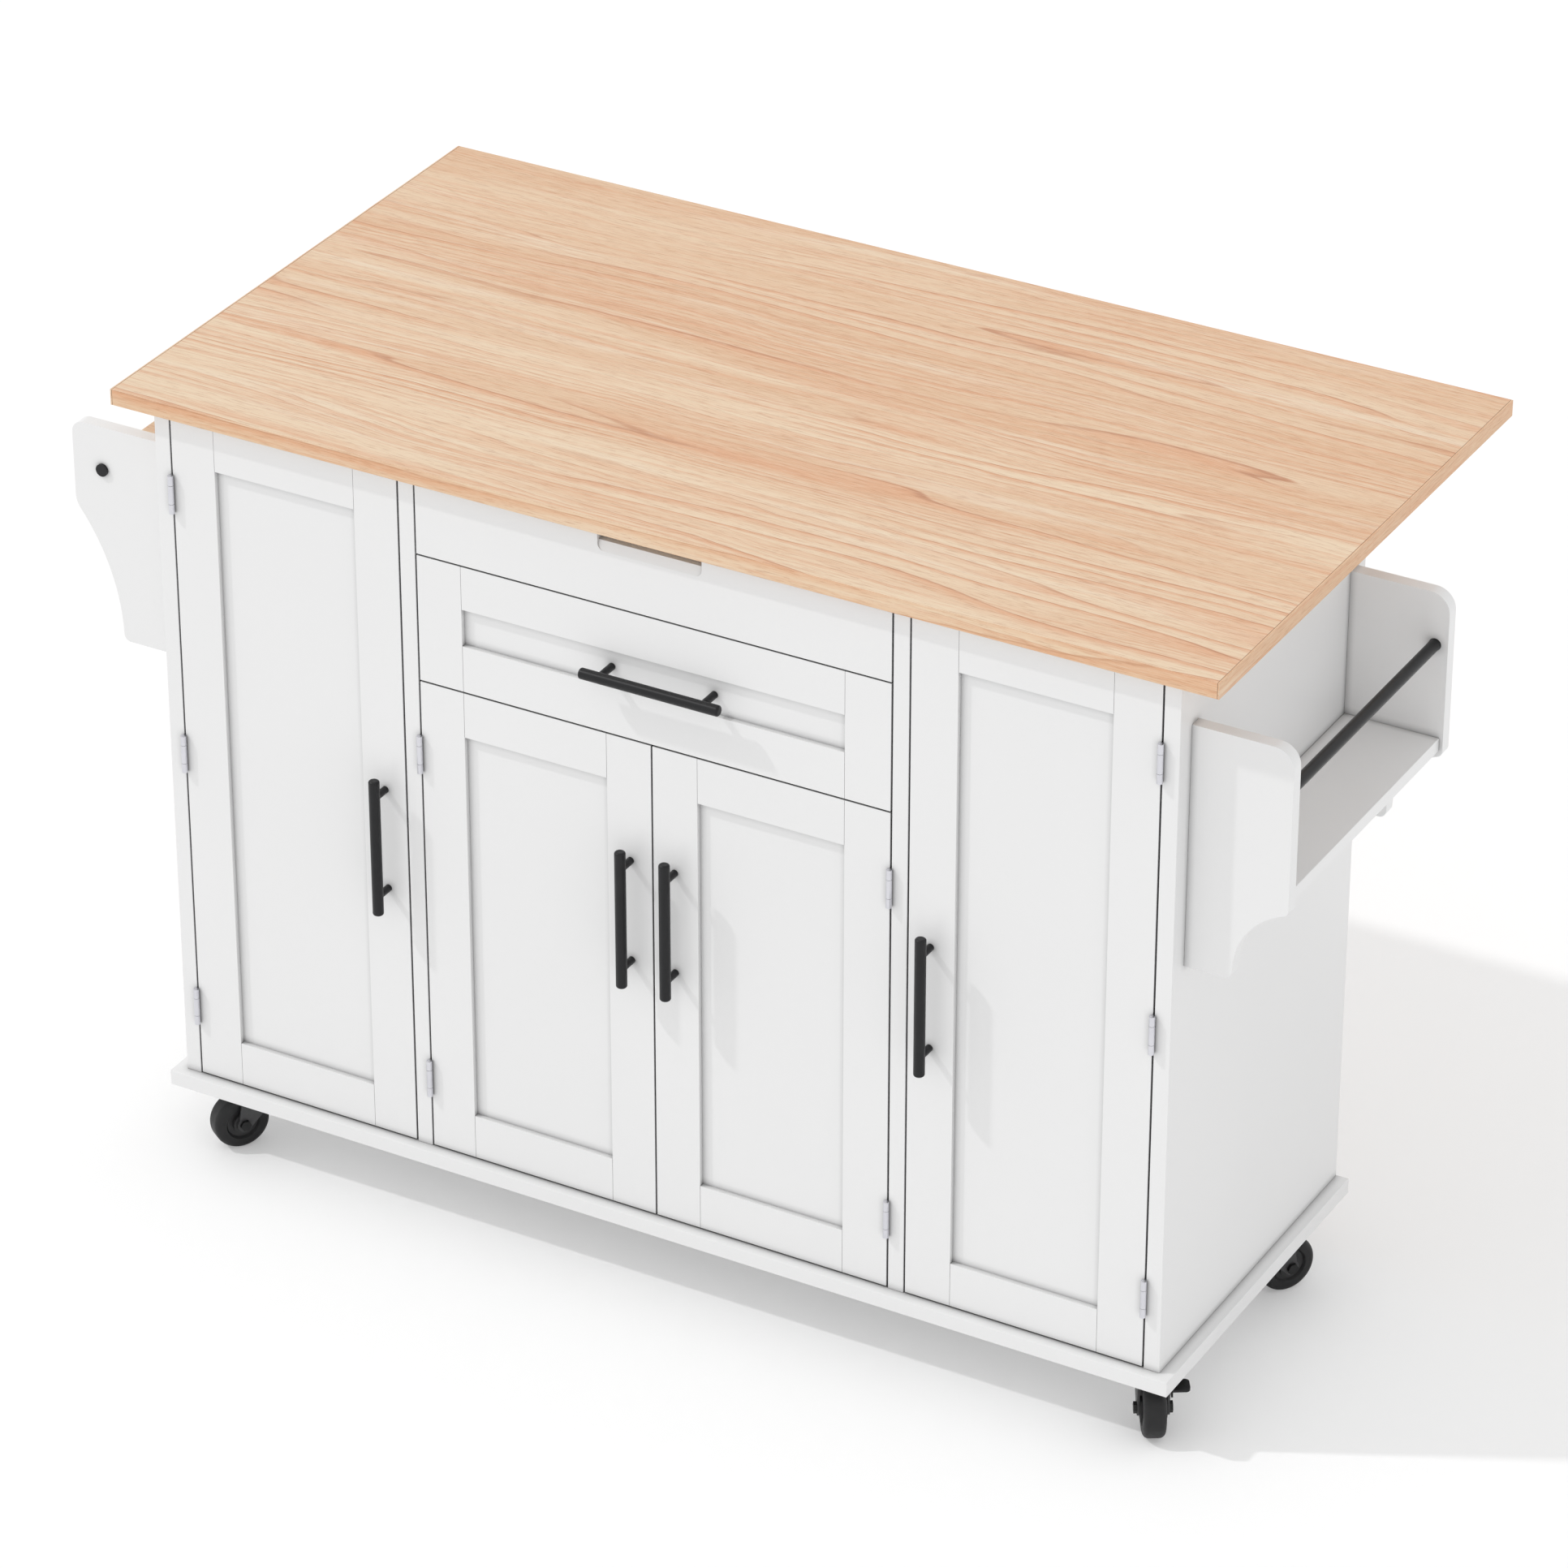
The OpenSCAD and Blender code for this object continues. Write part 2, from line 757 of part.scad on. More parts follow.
// outline of the left bracket: X runs out from the side panel, Y is 0 at its top;
// a round shoulder runs into one long hollow that ends upright at the foot
module left_outline() {
  h = left_bracket_h;
  top_r = 14;
  toe_r = 8;
  toe_h = 4;
  foot = left_out - left_foot_in;
  hollow_r = 236;
  hollow_x = foot + hollow_r;
  hollow_y = toe_h - h;
  shoulder_r = 28;
  shoulder_x = left_out - shoulder_r;
  both = hollow_r + shoulder_r;
  shoulder_y = hollow_y + sqrt(pow(both, 2) - pow(hollow_x - shoulder_x, 2));
  touch = shoulder_r / both;
  touch_x = shoulder_x + (hollow_x - shoulder_x) * touch;
  touch_y = shoulder_y + (hollow_y - shoulder_y) * touch;
  difference() {
    union() {
      translate([0, shoulder_y]) square([left_out, -shoulder_y]);
      translate([shoulder_x, shoulder_y]) circle(r = shoulder_r);
      polygon([
        [0, shoulder_y], [shoulder_x, shoulder_y], [touch_x, touch_y], [touch_x, -h], [0, -h]
      ]);
    }
    translate([hollow_x, hollow_y]) circle(r = hollow_r, $fn = 180);
    translate([foot, -h - over]) square([left_out, h + hollow_y + over]);
    translate([left_out, 0]) corner_cut(top_r, -1, -1);
    translate([foot, -h]) corner_cut(toe_r, -1, 1);
  }
}

// a rack bracket at the side s whose outline runs out from the side panel
module bracket(s, y, z) {
  translate([s * side_x, 0, z]) mirror([s == L ? 1 : 0, 0, 0]) in_xz(y, rack_t) children();
}

module left_rack_brackets() {
  color(white) place() difference() {
    for (y = [rack_y1, rack_y2]) bracket(L, y, left_top) left_outline();
    rod_y([-side_x - towel_out, 0, left_top - towel_drop], towel_r + fit, top_d);
  }
}

module left_rack_ledge() {
  color(wood) place() block(
    [-side_x - ledge_w, rack_y1 + rack_t, left_top - rack_t],
    [-side_x, rack_y2, left_top]
  );
}

module left_towel_rod() {
  cap_t = 3;
  x = -side_x - towel_out;
  z = left_top - towel_drop;
  color(black) place() {
    rod_y([x, rack_y1 - cap_t, z], towel_r, rack_y2 - rack_y1 + rack_t + 2 * cap_t);
    rod_y([x, rack_y1 - cap_t, z], cap_r, cap_t);
    rod_y([x, rack_y2 + rack_t, z], cap_r, cap_t);
  }
}

// ---------- right rack ----------

// outline of the right bracket: X runs out from the side panel, Y is 0 at its lower end;
// a round hollow runs from a soft lip down to the foot
module right_outline() {
  top_r = 22;
  lip_r = 8;
  toe_r = 9;
  foot = 52;
  hollow_r = 83;
  hollow_x = foot + hollow_r;
  hollow_y = 10;
  both = hollow_r + lip_r;
  lip_x = right_out - lip_r;
  lip_y = hollow_y + sqrt(pow(both, 2) - pow(hollow_x - lip_x, 2));
  touch_x = hollow_x - (hollow_x - lip_x) * hollow_r / both;
  difference() {
    square([right_out, right_bracket_h]);
    translate([right_out, right_bracket_h]) corner_cut(top_r, -1, -1);
    translate([hollow_x, hollow_y]) circle(r = hollow_r, $fn = 120);
    translate([foot, -over]) square([right_out, hollow_y + over]);
    difference() {
      translate([touch_x, -over]) square([right_out, lip_y + over]);
      translate([lip_x, lip_y]) circle(r = lip_r);
    }
    translate([foot, 0]) corner_cut(toe_r, -1, 1);
  }
}

module right_rack_brackets() {
  low = right_top - right_bracket_h;
  color(white) place() difference() {
    for (y = [rack_y1, rack_y2]) bracket(R, y, low) right_outline();
    rod_y(
      [side_x + rod_out, rack_y1 + rack_t - socket, right_top - rod_drop],
      rod_r + fit,
      rack_y2 - rack_y1 - rack_t + 2 * socket
    );
  }
}

module right_rack_shelf() {
  edge_in = 4;
  z = right_top - right_bracket_h + rack_shelf_z;
  color(white) place() block(
    [side_x, rack_y1 + rack_t, z - rack_t],
    [side_x + right_out - edge_in, rack_y2, z]
  );
}

module right_rack_rod() {
  color(black) place() rod_y(
    [side_x + rod_out, rack_y1 + rack_t - socket, right_top - rod_drop],
    rod_r,
    rack_y2 - rack_y1 - rack_t + 2 * socket
  );
}

// ---------- casters ----------

// [X, Y, trailing direction] of each caster: front left, front right, rear left, rear right
casters = [
  [-caster_left, caster_front, front_left_turn],
  [caster_right, caster_front, front_right_turn],
  [-caster_left, caster_back, rear_left_turn],
  [caster_right, caster_back, rear_right_turn]
];

// children are drawn with the trail along X and the axle along Y
module at_caster(i) {
  c = casters[i];
  translate([c[0], c[1], 0]) rotate([0, 0, c[2]]) children();
}

// the front left caster has its brake on the other side of the fork
module brake_side(i) {
  mirror([0, i == 0 ? 1 : 0, 0]) children();
}

module caster_plates() {
  half = 29;
  race_r = 19;
  screw_in = 8;
  screw_r = 4;
  screw_h = 2;
  king_low = crown_low - fit - king_head_t;
  color(black) place() for (i = [0:3]) translate([casters[i][0], casters[i][1], 0]) {
    block([-half, -half, plate_low], [half, half, caster_h]);
    translate([0, 0, race_low])
      cylinder(r1 = race_r - 3, r2 = race_r, h = plate_low - race_low);
    translate([0, 0, king_low]) cylinder(r = king_r, h = plate_low - king_low);
    translate([0, 0, king_low]) cylinder(r = king_head_r, h = king_head_t);
    for (x = [screw_in - half, half - screw_in], y = [screw_in - half, half - screw_in])
      translate([x, y, plate_low - screw_h])
        cylinder(r1 = screw_r - 1.5, r2 = screw_r, h = screw_h);
  }
}

// side plate of a fork, wide at the crown, with straight edges down to the axle's round eye
module fork_side() {
  skirt = 3;
  back = [trail + eye_r * cos(212), wheel_r + eye_r * sin(212)];
  fore = [trail + eye_r * cos(-28), wheel_r + eye_r * sin(-28)];
  translate([trail, wheel_r]) circle(r = eye_r);
  polygon([
    [-crown_back, crown_high], [-crown_back, crown_low - skirt], back, fore,
    [trail + skirt, crown_low - 2 * skirt], [crown_fore, crown_high]
  ]);
}

module caster_fork(i) {
  brake = i < 2;
  nut_r = 6.35;
  nut_t = 3.5;
  thread = 0.5;
  rim = 1.5;
  color(black) place() at_caster(i) {
    difference() {
      union() {
        translate([0, 0, crown_low]) cylinder(r = crown_fore, h = crown_high - crown_low);
        block([-crown_back, -fork_out, crown_low], [crown_fore, fork_out, crown_high]);
        for (y = [-fork_out, fork_in]) in_xz(y, fork_t) fork_side();
      }
      translate([0, 0, crown_low - over])
        cylinder(r = king_r + run, h = crown_high - crown_low + 2 * over);
    }
    // axle bolt with a hexagon head at one end and a nut at the other
    rod_y([trail, -fork_out - thread, wheel_r], axle_r, 2 * (fork_out + thread));
    for (y = [-fork_out - nut_t, fork_out])
      translate([trail, y, wheel_r]) rotate([-90, 0, 0]) cylinder(r = nut_r, h = nut_t, $fn = 6);
    // stub on which the brake lever turns
    if (brake) brake_side(i) {
      rod_y([lever_x, fork_out, lever_z], stub_r, lever_t + 2 * fit);
      rod_y([lever_x, fork_out + lever_t + 2 * fit, lever_z], stub_r + rim, rim);
    }
  }
}

// a hub with its bore inside a tyre with round shoulders and a dish in each side
module caster_wheel(i) {
  w = wheel_w / 2;
  hub_r = 12;
  hub_w = w + wheel_gap - fit;
  soft = 6.5;
  dish = 3;
  rim_r = wheel_r - 12;
  dish_r = rim_r - 2;
  color(tyre) place() at_caster(i) translate([trail, 0, wheel_r]) rotate([90, 0, 0])
    rotate_extrude($fn = 72) {
      translate([axle_r + run, -hub_w]) square([hub_r - axle_r - run, 2 * hub_w]);
      difference() {
        intersection() {
          translate([-wheel_r, -w]) soft_rect(2 * wheel_r, wheel_w, soft);
          translate([hub_r - over, -w]) square([wheel_r, wheel_w]);
        }
        for (m = [0, 1]) mirror([0, m]) polygon([
          [hub_r, w - dish], [dish_r, w - dish], [rim_r, w], [rim_r, w + over], [hub_r, w + over]
        ]);
      }
    }
}

// a flat tread beside the fork on an arm that turns on the stub
module brake_lever(i) {
  y = fork_out + fit;
  boss_r = 6;
  arm_t = 2;
  tread_z = lever_z + boss_r;
  tread_t = 3;
  tread_w = 20;
  tread_x = lever_x + 4;
  soft = 5;
  color(black) place() at_caster(i) brake_side(i) difference() {
    union() {
      rod_y([lever_x, y, lever_z], boss_r, lever_t);
      block([lever_x - arm_t, y, lever_z], [tread_x + tread_w, y + arm_t, tread_z + tread_t]);
      // square against the arm, round at the free end
      translate([tread_x, y, tread_z]) linear_extrude(height = tread_t) difference() {
        square(tread_w);
        translate([0, tread_w]) corner_cut(soft, 1, -1);
        translate([tread_w, tread_w]) corner_cut(soft, -1, -1);
      }
    }
    rod_y([lever_x, y - over, lever_z], stub_r + run, lever_t + 2 * over);
  }
}

module front_left_caster_fork() { caster_fork(0); }
module front_left_caster_wheel() { caster_wheel(0); }
module front_left_brake_lever() { brake_lever(0); }
module front_right_caster_fork() { caster_fork(1); }
module front_right_caster_wheel() { caster_wheel(1); }
module front_right_brake_lever() { brake_lever(1); }
module rear_left_caster_fork() { caster_fork(2); }
module rear_left_caster_wheel() { caster_wheel(2); }
module rear_right_caster_fork() { caster_fork(3); }
module rear_right_caster_wheel() { caster_wheel(3); }

base_board();
left_side_panel();
right_side_panel();
left_divider();
right_divider();
back_panel();
shelves();
shelf_rests();
main_top();
drop_leaf();
leaf_hinges_fixed();
leaf_hinges_moving();
support_wall_arms();
support_leaf_arms();
support_struts();
left_door_frame();
left_door_panel();
left_door_handle();
left_door_hinges();
centre_left_door_frame();
centre_left_door_panel();
centre_left_door_handle();
centre_left_door_hinges();
centre_right_door_frame();
centre_right_door_panel();
centre_right_door_handle();
centre_right_door_hinges();
right_door_frame();
right_door_panel();
right_door_handle();
right_door_hinges();
door_hinges_fixed();
top_drawer_front();
top_drawer_box();
top_drawer_bottom();
lower_drawer_frame();
lower_drawer_panel();
lower_drawer_box();
lower_drawer_bottom();
drawer_handle();
drawer_runners_fixed();
top_drawer_rails();
lower_drawer_rails();
left_rack_brackets();
left_rack_ledge();
left_towel_rod();
right_rack_brackets();
right_rack_shelf();
right_rack_rod();
caster_plates();
front_left_caster_fork();
front_left_caster_wheel();
front_left_brake_lever();
front_right_caster_fork();
front_right_caster_wheel();
front_right_brake_lever();
rear_left_caster_fork();
rear_left_caster_wheel();
rear_right_caster_fork();
rear_right_caster_wheel();
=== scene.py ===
"""Finishes, fine detail, light and camera for a rolling kitchen island with a drop leaf.

Lengths are in metres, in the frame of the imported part: X runs along the front, Y to the back
and Z up, with the origin on the floor under the middle of the whole. Noise scales are in waves
per metre.
"""

import json
import math

import bmesh
import bpy
from mathutils import Matrix, Vector

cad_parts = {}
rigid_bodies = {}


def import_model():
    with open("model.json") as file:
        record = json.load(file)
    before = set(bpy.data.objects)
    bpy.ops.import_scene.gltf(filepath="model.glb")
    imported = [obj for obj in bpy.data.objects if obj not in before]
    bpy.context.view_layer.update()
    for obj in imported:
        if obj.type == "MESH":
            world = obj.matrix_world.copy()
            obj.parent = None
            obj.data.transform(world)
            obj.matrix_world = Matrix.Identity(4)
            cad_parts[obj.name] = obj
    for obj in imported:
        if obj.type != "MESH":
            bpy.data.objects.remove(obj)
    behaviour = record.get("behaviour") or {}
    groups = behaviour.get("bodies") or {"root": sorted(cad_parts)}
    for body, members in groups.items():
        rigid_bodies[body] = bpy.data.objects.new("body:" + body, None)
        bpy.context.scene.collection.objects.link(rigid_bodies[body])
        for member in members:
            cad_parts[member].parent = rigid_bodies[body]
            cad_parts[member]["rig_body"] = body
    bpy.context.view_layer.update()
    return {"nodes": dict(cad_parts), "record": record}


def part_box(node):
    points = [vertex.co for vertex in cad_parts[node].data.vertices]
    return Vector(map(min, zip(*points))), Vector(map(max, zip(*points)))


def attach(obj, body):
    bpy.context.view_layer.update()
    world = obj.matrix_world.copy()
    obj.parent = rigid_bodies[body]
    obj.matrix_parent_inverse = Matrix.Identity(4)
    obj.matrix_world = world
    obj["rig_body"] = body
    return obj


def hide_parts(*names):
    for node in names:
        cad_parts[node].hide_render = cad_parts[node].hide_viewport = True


for old in list(bpy.data.objects):
    bpy.data.objects.remove(old)

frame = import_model()
NODES = frame["nodes"]
SLOTS = {part["node"]: part["material_slot"] for part in frame["record"]["subparts"]}

MM = 0.001
DOORS = ["left_door", "centre_left_door", "centre_right_door", "right_door"]
CORNERS = ["front_left", "front_right", "rear_left", "rear_right"]


# ---------- shader nodes ----------

# the range that a noise hardly leaves
NOISE_LOW = 0.2
NOISE_HIGH = 0.8
# a mix node's sockets for colours
MIX_FACTOR, MIX_A, MIX_B, MIX_RESULT = 0, 6, 7, 2
# rays that look for the surfaces near a corner, for the painted shade there
CORNER_SAMPLES = 8


def new_material(name):
    """A material with a principled shader; returns it, its tree and the shader."""
    material = bpy.data.materials.new(name)
    material.use_nodes = True
    tree = material.node_tree
    return material, tree, tree.nodes["Principled BSDF"]


def feed(tree, socket, value):
    """Links a node's input to another socket, or sets it to a value."""
    if isinstance(value, bpy.types.NodeSocket):
        tree.links.new(value, socket)
    else:
        socket.default_value = value


def put(tree, kind, settings=None, **inputs):
    """Adds a node with its inputs fed; _ in an input's name is a space."""
    node = tree.nodes.new(kind)
    for key, value in (settings or {}).items():
        setattr(node, key, value)
    for key, value in inputs.items():
        feed(tree, node.inputs[key.replace("_", " ")], value)
    return node


def calc(tree, operation, *values, clamp=False):
    """The result of a math node on sockets and numbers."""
    node = put(tree, "ShaderNodeMath", {"operation": operation, "use_clamp": clamp})
    for socket, value in zip(node.inputs, values):
        feed(tree, socket, value)
    return node.outputs[0]


def times(tree, first, *others):
    """The product of sockets and numbers."""
    product = first
    for other in others:
        product = calc(tree, "MULTIPLY", product, other)
    return product


def mix(tree, factor, a, b):
    """a and b, sockets or colours, mixed by factor."""
    node = put(tree, "ShaderNodeMix", {"data_type": "RGBA"})
    for index, value in ((MIX_FACTOR, factor), (MIX_A, a), (MIX_B, b)):
        feed(tree, node.inputs[index], value)
    return node.outputs[MIX_RESULT]


def remap(tree, value, low, high, to_low=0.0, to_high=1.0):
    """value moved smoothly from one range to another, and kept inside it."""
    made = put(
        tree,
        "ShaderNodeMapRange",
        {"interpolation_type": "SMOOTHSTEP"},
        Value=value,
        From_Min=low,
        From_Max=high,
        To_Min=to_low,
        To_Max=to_high,
    )
    return made.outputs["Result"]


def noise(tree, place, scale, detail=2.0, roughness=0.5):
    """Noise from 0 to 1 over place; scale is one number, or one for each axis."""
    if not isinstance(scale, tuple):
        scale = (scale, scale, scale)
    stretched = put(tree, "ShaderNodeMapping", Vector=place, Scale=scale)
    made = put(
        tree,
        "ShaderNodeTexNoise",
        Vector=stretched.outputs["Vector"],
        Scale=1.0,
        Detail=detail,
        Roughness=roughness,
    )
    return made.outputs["Fac"]


def patches(tree, place, scale, low, high, top=1.0, detail=2.0, roughness=0.6):
    """Noise as soft patches: 0 where it is under low, and top where it is over high."""
    return remap(tree, noise(tree, place, scale, detail, roughness), low, high, 0.0, top)


def object_place(tree):
    """A point's place in the frame of the part."""
    return put(tree, "ShaderNodeTexCoord").outputs["Object"]


def srgb(red, green, blue):
    """A colour as it is seen on a screen, 0 to 255, in the shader's linear values."""

    def linear(value):
        value /= 255
        return value / 12.92 if value <= 0.04045 else ((value + 0.055) / 1.055) ** 2.4

    return (linear(red), linear(green), linear(blue), 1.0)


# the colour of the shade painted into corners, gaps and recesses
CORNER_SHADE = srgb(14, 13, 12)


def with_painted_corner_shade(tree, colour, reach, depth=0.6):
    """The colour with painted shade: darker where other surfaces stand closer than reach."""
    settings = {"samples": CORNER_SAMPLES}
    seen = put(tree, "ShaderNodeAmbientOcclusion", settings, Distance=reach).outputs["AO"]
    return mix(tree, calc(tree, "POWER", seen, depth), CORNER_SHADE, colour)


def paint_with(tree, shader, colour):
    """Gives the shader its colour."""
    tree.links.new(colour, shader.inputs["Base Color"])


def vary_roughness(tree, shader, value, low, high):
    """Roughness from low to high, where a noise goes from low to high."""
    roughness = remap(tree, value, NOISE_LOW, NOISE_HIGH, low, high)
    tree.links.new(roughness, shader.inputs["Roughness"])


def bump(tree, shader, height, strength, distance):
    """Gives the shader a bump from a height."""
    made = put(tree, "ShaderNodeBump", Height=height, Strength=strength, Distance=distance)
    tree.links.new(made.outputs["Normal"], shader.inputs["Normal"])


# ---------- white board ----------


def white_paint():
    """Satin white film on board: a faint orange peel, a slight drift in tone and gloss, and
    painted shade in corners and gaps.
    """
    material, tree, shader = new_material("white_paint")
    place = object_place(tree)
    tone = mix(tree, noise(tree, place, 3), srgb(232, 232, 232), srgb(236, 236, 236))
    # painted shade: the white darkens in corners, gaps and recesses
    paint_with(tree, shader, with_painted_corner_shade(tree, tone, reach=9 * MM))
    vary_roughness(tree, shader, noise(tree, place, 14, detail=3.0), 0.3, 0.36)
    bump(tree, shader, noise(tree, place, 420), 0.12, 0.2 * MM)
    return material


# ---------- wood ----------

# colours of the wood film, from its palest fields to its darkest lines
IVORY = srgb(233, 214, 189)
CREAM = srgb(231, 207, 177)
SAND = srgb(221, 184, 149)
ROSE = srgb(219, 164, 125)
RUST = srgb(168, 108, 74)
# warms the edge bands
AMBER = srgb(240, 190, 140)
BAND_WARMTH = 0.12

# how far the grain wanders across its run, in long waves and in short ones
LONG_WAVES = 60 * MM
SHORT_WAVES = 7.5 * MM
# the spacing of the wide growth rings and of the narrow ones
WIDE_RINGS = 23 * MM
NARROW_RINGS = 8.5 * MM
# how far the rings drift along the grain, in rings
RING_DRIFT = 9.0
# shares of a ring: where its dark line begins, where its rise is over, where the line is darkest
LINE_BEGINS = 0.9
RISE_ENDS = 0.96
LINE_DARKEST = 0.965
# how much of its darker colour the wood's fields gain for each metre towards the back
DARKER_BACK = 1.3


def rings(tree, across, place, spacing, scale, rise_begins):
    """Growth rings: darkness that rises slowly and ends sharply, and the line at that end."""
    drift = times(tree, noise(tree, place, scale, roughness=0.55), RING_DRIFT)
    phase = calc(tree, "FRACT", calc(tree, "MULTIPLY_ADD", across, 1 / spacing, drift))
    rise = remap(tree, phase, rise_begins, RISE_ENDS)
    line = remap(tree, phase, LINE_BEGINS, LINE_DARKEST)
    fall = remap(tree, phase, LINE_DARKEST, 1.0, 1.0, 0.0)
    return times(tree, rise, fall), times(tree, line, fall)


def wood_film(name, along="X", shift=(0.0, 0.0, 0.0), warmth=0.0):
    """Pale straight-grained wood print; the grain runs along X or Y."""
    material, tree, shader = new_material(name)
    turn = math.radians(90) if along == "Y" else 0.0
    place = object_place(tree)
    base = put(
        tree, "ShaderNodeMapping", Vector=place, Rotation=(0, 0, turn), Location=shift
    ).outputs["Vector"]
    parts = put(tree, "ShaderNodeSeparateXYZ", Vector=base).outputs

    # the grain wanders a little across its run
    wander = times(tree, noise(tree, base, (1.1, 3.5, 3.5)), LONG_WAVES)
    wiggle = times(tree, noise(tree, base, (8, 20, 20)), SHORT_WAVES)
    shifted = calc(tree, "ADD", parts["Y"], calc(tree, "ADD", wander, wiggle))
    across = calc(tree, "ADD", shifted, parts["Z"])
    grain = put(
        tree, "ShaderNodeCombineXYZ", X=parts["X"], Y=shifted, Z=parts["Z"]
    ).outputs["Vector"]

    # broad fields, growth rings and where they are strong, and ever finer streaks
    fields = patches(tree, grain, (0.7, 14, 14), 0.38, 0.64, detail=3.0)
    fields = calc(tree, "MULTIPLY_ADD", parts["Y"], DARKER_BACK, fields, clamp=True)
    pale = patches(tree, grain, (1.4, 34, 34), 0.55, 0.7, top=0.6, detail=3.0)
    wide, wide_line = rings(tree, across, grain, WIDE_RINGS, (0.6, 9, 9), 0.45)
    wide_strong = patches(tree, grain, (1.0, 11, 11), 0.42, 0.58)
    narrow, narrow_line = rings(tree, across, grain, NARROW_RINGS, (1.1, 15, 15), 0.3)
    narrow_strong = patches(tree, grain, (1.9, 30, 30), 0.42, 0.6)
    streaks = patches(tree, grain, (1.6, 90, 90), 0.5, 0.68, top=0.6, detail=5.0, roughness=0.75)
    threads = patches(tree, grain, (5.0, 380, 380), 0.5, 0.72, top=0.6, detail=5.0, roughness=0.75)
    fibres = noise(tree, grain, (45, 900, 900), detail=3.0, roughness=0.7)

    layers = [
        (pale, IVORY),
        (streaks, ROSE),
        (times(tree, wide, wide_strong, 0.85), ROSE),
        (times(tree, narrow, narrow_strong, 0.5), ROSE),
        (threads, ROSE),
        (times(tree, wide_line, wide_strong, 0.56), RUST),
        (times(tree, narrow_line, narrow_strong, 0.38), RUST),
        (remap(tree, fibres, 0.5, 0.7, 0.0, 0.42), RUST),
        (remap(tree, fibres, 0.5, 0.3, 0.0, 0.35), IVORY),
    ]
    if warmth:
        layers.append((warmth, AMBER))
    colour = mix(tree, fields, CREAM, SAND)
    for amount, tint in layers:
        colour = mix(tree, amount, colour, tint)
    paint_with(tree, shader, colour)
    vary_roughness(tree, shader, fibres, 0.42, 0.52)
    bump(tree, shader, fibres, 0.1, 0.2 * MM)
    return material


def glue_line():
    """The brown line where an edge band meets the face of a board."""
    material, tree, shader = new_material("glue_line")
    blotches = noise(tree, object_place(tree), 60)
    paint_with(tree, shader, mix(tree, blotches, srgb(150, 112, 84), srgb(112, 82, 62)))
    shader.inputs["Roughness"].default_value = 0.6
    return material


def pale_board():
    """Pale grey-white film inside the drawers."""
    material, tree, shader = new_material("pale_board")
    weave = noise(tree, object_place(tree), 160, detail=3.0)
    paint_with(tree, shader, mix(tree, weave, srgb(232, 229, 222), srgb(238, 236, 231)))
    shader.inputs["Roughness"].default_value = 0.55
    bump(tree, shader, weave, 0.1, 0.2 * MM)
    return material


# ---------- metal and plastic ----------


def black_coat():
    """Satin black powder coat with a fine grain, and painted shade in corners."""
    material, tree, shader = new_material("black_coat")
    place = object_place(tree)
    tone = mix(tree, noise(tree, place, 40), srgb(22, 22, 24), srgb(30, 30, 32))
    # painted shade: the coat darkens in corners and where parts meet
    paint_with(tree, shader, with_painted_corner_shade(tree, tone, reach=4 * MM))
    shader.inputs["Specular IOR Level"].default_value = 0.3
    grain = noise(tree, place, 1500)
    vary_roughness(tree, shader, grain, 0.3, 0.44)
    bump(tree, shader, grain, 0.2, 0.1 * MM)
    return material


def zinc_plate():
    """Bright zinc on steel, brushed a little along Z, with painted shade in corners."""
    material, tree, shader = new_material("zinc_plate")
    place = object_place(tree)
    cloud = noise(tree, place, (70, 70, 25), detail=3.0)
    tone = mix(tree, cloud, srgb(206, 206, 212), srgb(224, 224, 229))
    # painted shade: the zinc darkens in corners and gaps
    paint_with(tree, shader, with_painted_corner_shade(tree, tone, reach=4 * MM))
    shader.inputs["Metallic"].default_value = 1.0
    brushed = noise(tree, place, (900, 900, 60))
    vary_roughness(tree, shader, brushed, 0.3, 0.42)
    bump(tree, shader, brushed, 0.1, 0.1 * MM)
    return material


def dark_plastic(name, dark, light, roughness):
    """Moulded dark plastic, slightly scuffed, with painted shade in corners; dark and light are
    its greys on a screen.
    """
    material, tree, shader = new_material(name)
    scuff = noise(tree, object_place(tree), 220, detail=4.0)
    tone = mix(tree, scuff, srgb(dark, dark, dark + 1), srgb(light, light, light + 1))
    # painted shade: the plastic darkens in corners and where parts meet
    paint_with(tree, shader, with_painted_corner_shade(tree, tone, reach=5 * MM))
    vary_roughness(tree, shader, scuff, roughness, roughness + 0.14)
    shader.inputs["Specular IOR Level"].default_value = 0.35
    bump(tree, shader, scuff, 0.15, 0.2 * MM)
    return material


WHITE = white_paint()
WOOD = wood_film("wood_face")
WOOD_FRONT = wood_film("wood_long_band", shift=(0.31, 0.07, 0.4), warmth=BAND_WARMTH)
WOOD_END = wood_film("wood_end_band", along="Y", shift=(0.7, 0.2, 0.1), warmth=BAND_WARMTH)
GLUE = glue_line()
BLACK = black_coat()
ZINC = zinc_plate()
PALE = pale_board()
TYRE = dark_plastic("wheel_tyre", 24, 34, 0.42)
HUB = dark_plastic("wheel_hub", 38, 50, 0.36)
FORK = dark_plastic("caster_coat", 64, 74, 0.3)
BOLT = dark_plastic("caster_bolt", 12, 18, 0.3)

# the finish of each of the record's material slots; the casters get theirs below
FINISHES = {
    "white_board": WHITE,
    "worktop_wood": WOOD,
    "drawer_wood": PALE,
    "black_metal": BLACK,
    "zinc_steel": ZINC,
}


# ---------- meshes ----------

# points closer than this are one point
WELD = 1e-6
# two faces are one flat face where they turn by less than this
FLAT = math.radians(0.3)
# edges of boards and of round pieces are sharp from these angles
BOARD_SHARP = math.radians(35)
ROUND_SHARP = math.radians(30)
EDGE_SEGMENTS = 3


